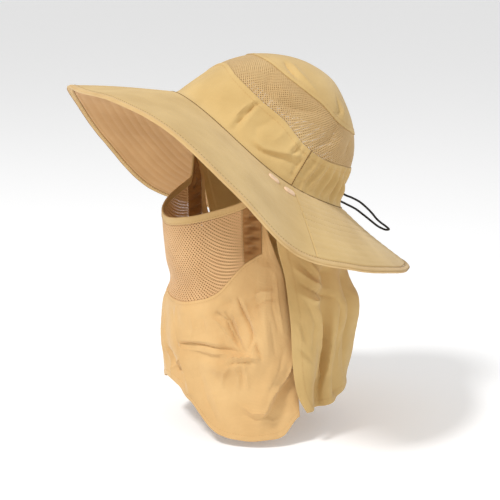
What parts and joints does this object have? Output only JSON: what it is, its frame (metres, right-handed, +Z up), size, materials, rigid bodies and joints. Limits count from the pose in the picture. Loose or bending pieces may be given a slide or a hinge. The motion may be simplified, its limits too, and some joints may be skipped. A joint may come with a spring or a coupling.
{
  "type": "wide-brimmed legionnaire sun hat with face cover",
  "caption": "Sun hat with a wide quilted brim, mesh-vented crown, hanging neck flap and loose mesh face cover, hollow for a head and held in its worn form.",
  "frame": {"origin": "middle of the head opening where crown and brim meet", "axes": "+Z up, -Y the way the wearer looks, +X the wearer's left"},
  "size_m": [0.385, 0.3372, 0.357],
  "materials": {
    "cloth": "woven",
    "lining": "woven",
    "net": "mesh",
    "edging": "woven",
    "cover_cloth": "woven",
    "thread": "woven",
    "elastic": "braided"
  },
  "bodies": {
    "root": {"crown_tip": "cloth", "crown_mesh_band": "net", "crown_front_panel": "cloth", "crown_back_panel": "cloth", "brim_upper_front": "cloth", "brim_upper_back": "cloth", "brim_under": "lining", "brim_binding": "edging", "cord_outlet": "edging", "tack_front_left": "thread", "tack_front_right": "thread", "tack_rear_left": "thread", "tack_rear_right": "thread", "drawcord": "elastic", "neck_flap": "cover_cloth", "cover_binding": "edging", "cover_mesh": "net", "cover_gusset_left": "lining", "cover_gusset_right": "lining", "cover_skirt": "cover_cloth"}
  },
  "joints": []
}
